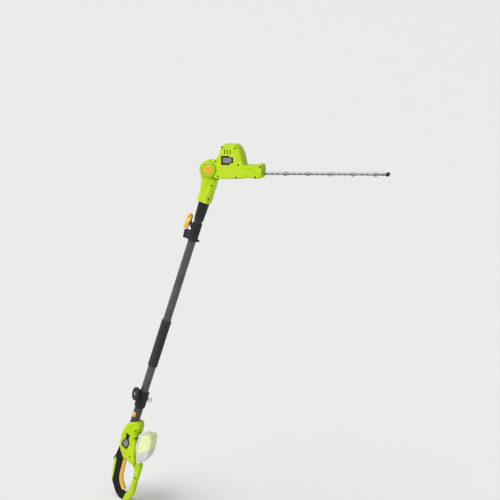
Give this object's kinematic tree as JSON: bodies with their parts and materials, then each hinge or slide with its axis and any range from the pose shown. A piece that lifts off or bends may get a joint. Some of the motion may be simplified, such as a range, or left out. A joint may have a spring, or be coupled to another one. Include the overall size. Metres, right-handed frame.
{
  "type": "pole hedge trimmer",
  "caption": "Cordless pole hedge trimmer: closed grip with trigger paddle, telescoping pole, tilting motor head and long double-edged toothed blade.",
  "frame": {"origin": "on the pole's axis at mid-height of the rear grip, where the hand closes", "axes": "+Z along the pole towards the head, +X towards the side where the blade points, -Y the side with the tilt button"},
  "size_m": [0.7103, 0.0826, 1.6667],
  "materials": {
    "green_plastic": "fine moulded texture",
    "soft_grip": "matt",
    "foam": "closed-cell foam skin",
    "black_plastic": "fine moulded texture",
    "yellow_plastic": "satin",
    "black_tube": "black coating",
    "grey_tube": "dark grey coating",
    "steel": "zinc plated",
    "blade_steel": "ground and polished",
    "battery_grey": "fine moulded texture",
    "battery_green": "fine moulded texture"
  },
  "bodies": {
    "housing": {"handle_shell_left": "green_plastic", "handle_shell_right": "green_plastic", "grip_overmould_left": "soft_grip", "grip_overmould_right": "soft_grip", "handle_screw_1": "steel", "handle_screw_2": "steel", "handle_screw_3": "steel", "handle_badge_left": "black_plastic", "handle_badge_right": "black_plastic", "battery_rail": "black_plastic", "trigger_switch": "black_plastic", "trigger_pin": "steel", "socket_tube": "black_tube", "outer_tube": "grey_tube", "coupler_collar": "black_plastic", "strap_eye": "steel", "foam_grip": "foam", "clamp_body": "black_plastic", "clamp_pin": "steel", "clamp_screw": "black_plastic"},
    "trigger": {"trigger_paddle": "yellow_plastic"},
    "lock_off": {"lock_off_button": "black_plastic"},
    "tube_release": {"tube_button": "yellow_plastic"},
    "knob": {"coupler_knob": "black_plastic", "knob_bolt": "steel"},
    "lever": {"clamp_lever": "yellow_plastic"},
    "upper_pole": {"inner_tube": "black_tube", "guide_bush": "black_plastic", "neck_sleeve": "black_plastic", "neck_shell_left": "green_plastic", "neck_shell_right": "green_plastic", "neck_screw_1": "steel", "neck_screw_2": "steel", "pivot_axle": "steel"},
    "tilt_release": {"tilt_button": "yellow_plastic", "tilt_lock_gear": "steel"},
    "head": {"head_shell_left": "green_plastic", "head_shell_right": "green_plastic", "head_badge_left": "black_plastic", "head_badge_right": "black_plastic", "motor_can": "steel", "gear_chassis": "steel", "guide_bar": "blade_steel", "tip_guard": "black_plastic", "head_screw_1": "steel", "head_screw_2": "steel", "head_screw_3": "steel", "head_screw_4": "steel", "head_screw_5": "steel", "head_screw_6": "steel", "head_screw_7": "steel", "head_screw_8": "steel"},
    "pinion": {"motor_pinion": "steel"},
    "gear": {"drive_gear": "steel"},
    "cutter_upper": {"upper_blade": "blade_steel"},
    "cutter_lower": {"lower_blade": "blade_steel"},
    "battery": {"battery_case": "battery_grey", "battery_cover": "battery_green"},
    "latch": {"battery_latch": "battery_grey"}
  },
  "joints": [
    {"name": "telescope", "type": "slide", "parent": "housing", "child": "upper_pole", "axis": [0, 0, 1], "range_m": [0, 0.55]},
    {"name": "head_tilt", "type": "hinge", "parent": "upper_pole", "child": "head", "pos_m": [-0.0185, 0, 1.321], "axis": [0, -1, 0], "range_deg": [0, 70]},
    {"name": "tilt_button_press", "type": "slide", "parent": "upper_pole", "child": "tilt_release", "axis": [0, 1, 0], "range_m": [0, 0.004], "stiffness_N_per_m": 2500, "springref_m": -0.004},
    {"name": "clamp_lever_open", "type": "hinge", "parent": "housing", "child": "lever", "pos_m": [-0.039, 0, 1.112], "axis": [0, 1, 0], "range_deg": [0, 110]},
    {"name": "coupler_knob_turn", "type": "hinge", "parent": "housing", "child": "knob", "pos_m": [0, 0, 0.345], "axis": [-0.7071, -0.7071, 0], "range_deg": [0, 360]},
    {"name": "tube_button_press", "type": "slide", "parent": "housing", "child": "tube_release", "axis": [0.342, 0.9397, 0], "range_m": [0, 0.0035], "stiffness_N_per_m": 2000, "springref_m": -0.003},
    {"name": "trigger_pull", "type": "hinge", "parent": "housing", "child": "trigger", "pos_m": [0.004, 0, 0.075], "axis": [0, 1, 0], "range_deg": [0, 5], "stiffness_Nm_per_rad": 3, "springref_deg": -3.44},
    {"name": "lock_off_press", "type": "slide", "parent": "housing", "child": "lock_off", "axis": [1, 0, 0], "range_m": [0, 0.003], "stiffness_N_per_m": 1200, "springref_m": -0.003},
    {"name": "battery_slide", "type": "slide", "parent": "housing", "child": "battery", "axis": [0, 0, 1], "range_m": [0, 0.09]},
    {"name": "battery_latch_press", "type": "slide", "parent": "battery", "child": "latch", "axis": [0, 0, -1], "range_m": [0, 0.0025], "stiffness_N_per_m": 1500, "springref_m": -0.002},
    {"name": "gear_spin", "type": "hinge", "parent": "head", "child": "gear", "pos_m": [0.09426, 0, 1.36204], "axis": [-0.342, 0, 0.9397], "continuous": true},
    {"name": "pinion_spin", "type": "hinge", "parent": "head", "child": "pinion", "pos_m": [0.06607, 0, 1.35178], "axis": [-0.342, 0, 0.9397], "continuous": true},
    {"name": "upper_blade_stroke", "type": "slide", "parent": "head", "child": "cutter_upper", "axis": [0.9397, 0, 0.342], "range_m": [-0.0055, 0.0055]},
    {"name": "lower_blade_stroke", "type": "slide", "parent": "head", "child": "cutter_lower", "axis": [0.9397, 0, 0.342], "range_m": [-0.0055, 0.0055]}
  ],
  "couplings": [
    {"joint": "pinion_spin", "follows": "gear_spin", "ratio": -4},
    {"joint": "lower_blade_stroke", "follows": "upper_blade_stroke", "ratio": -1}
  ]
}
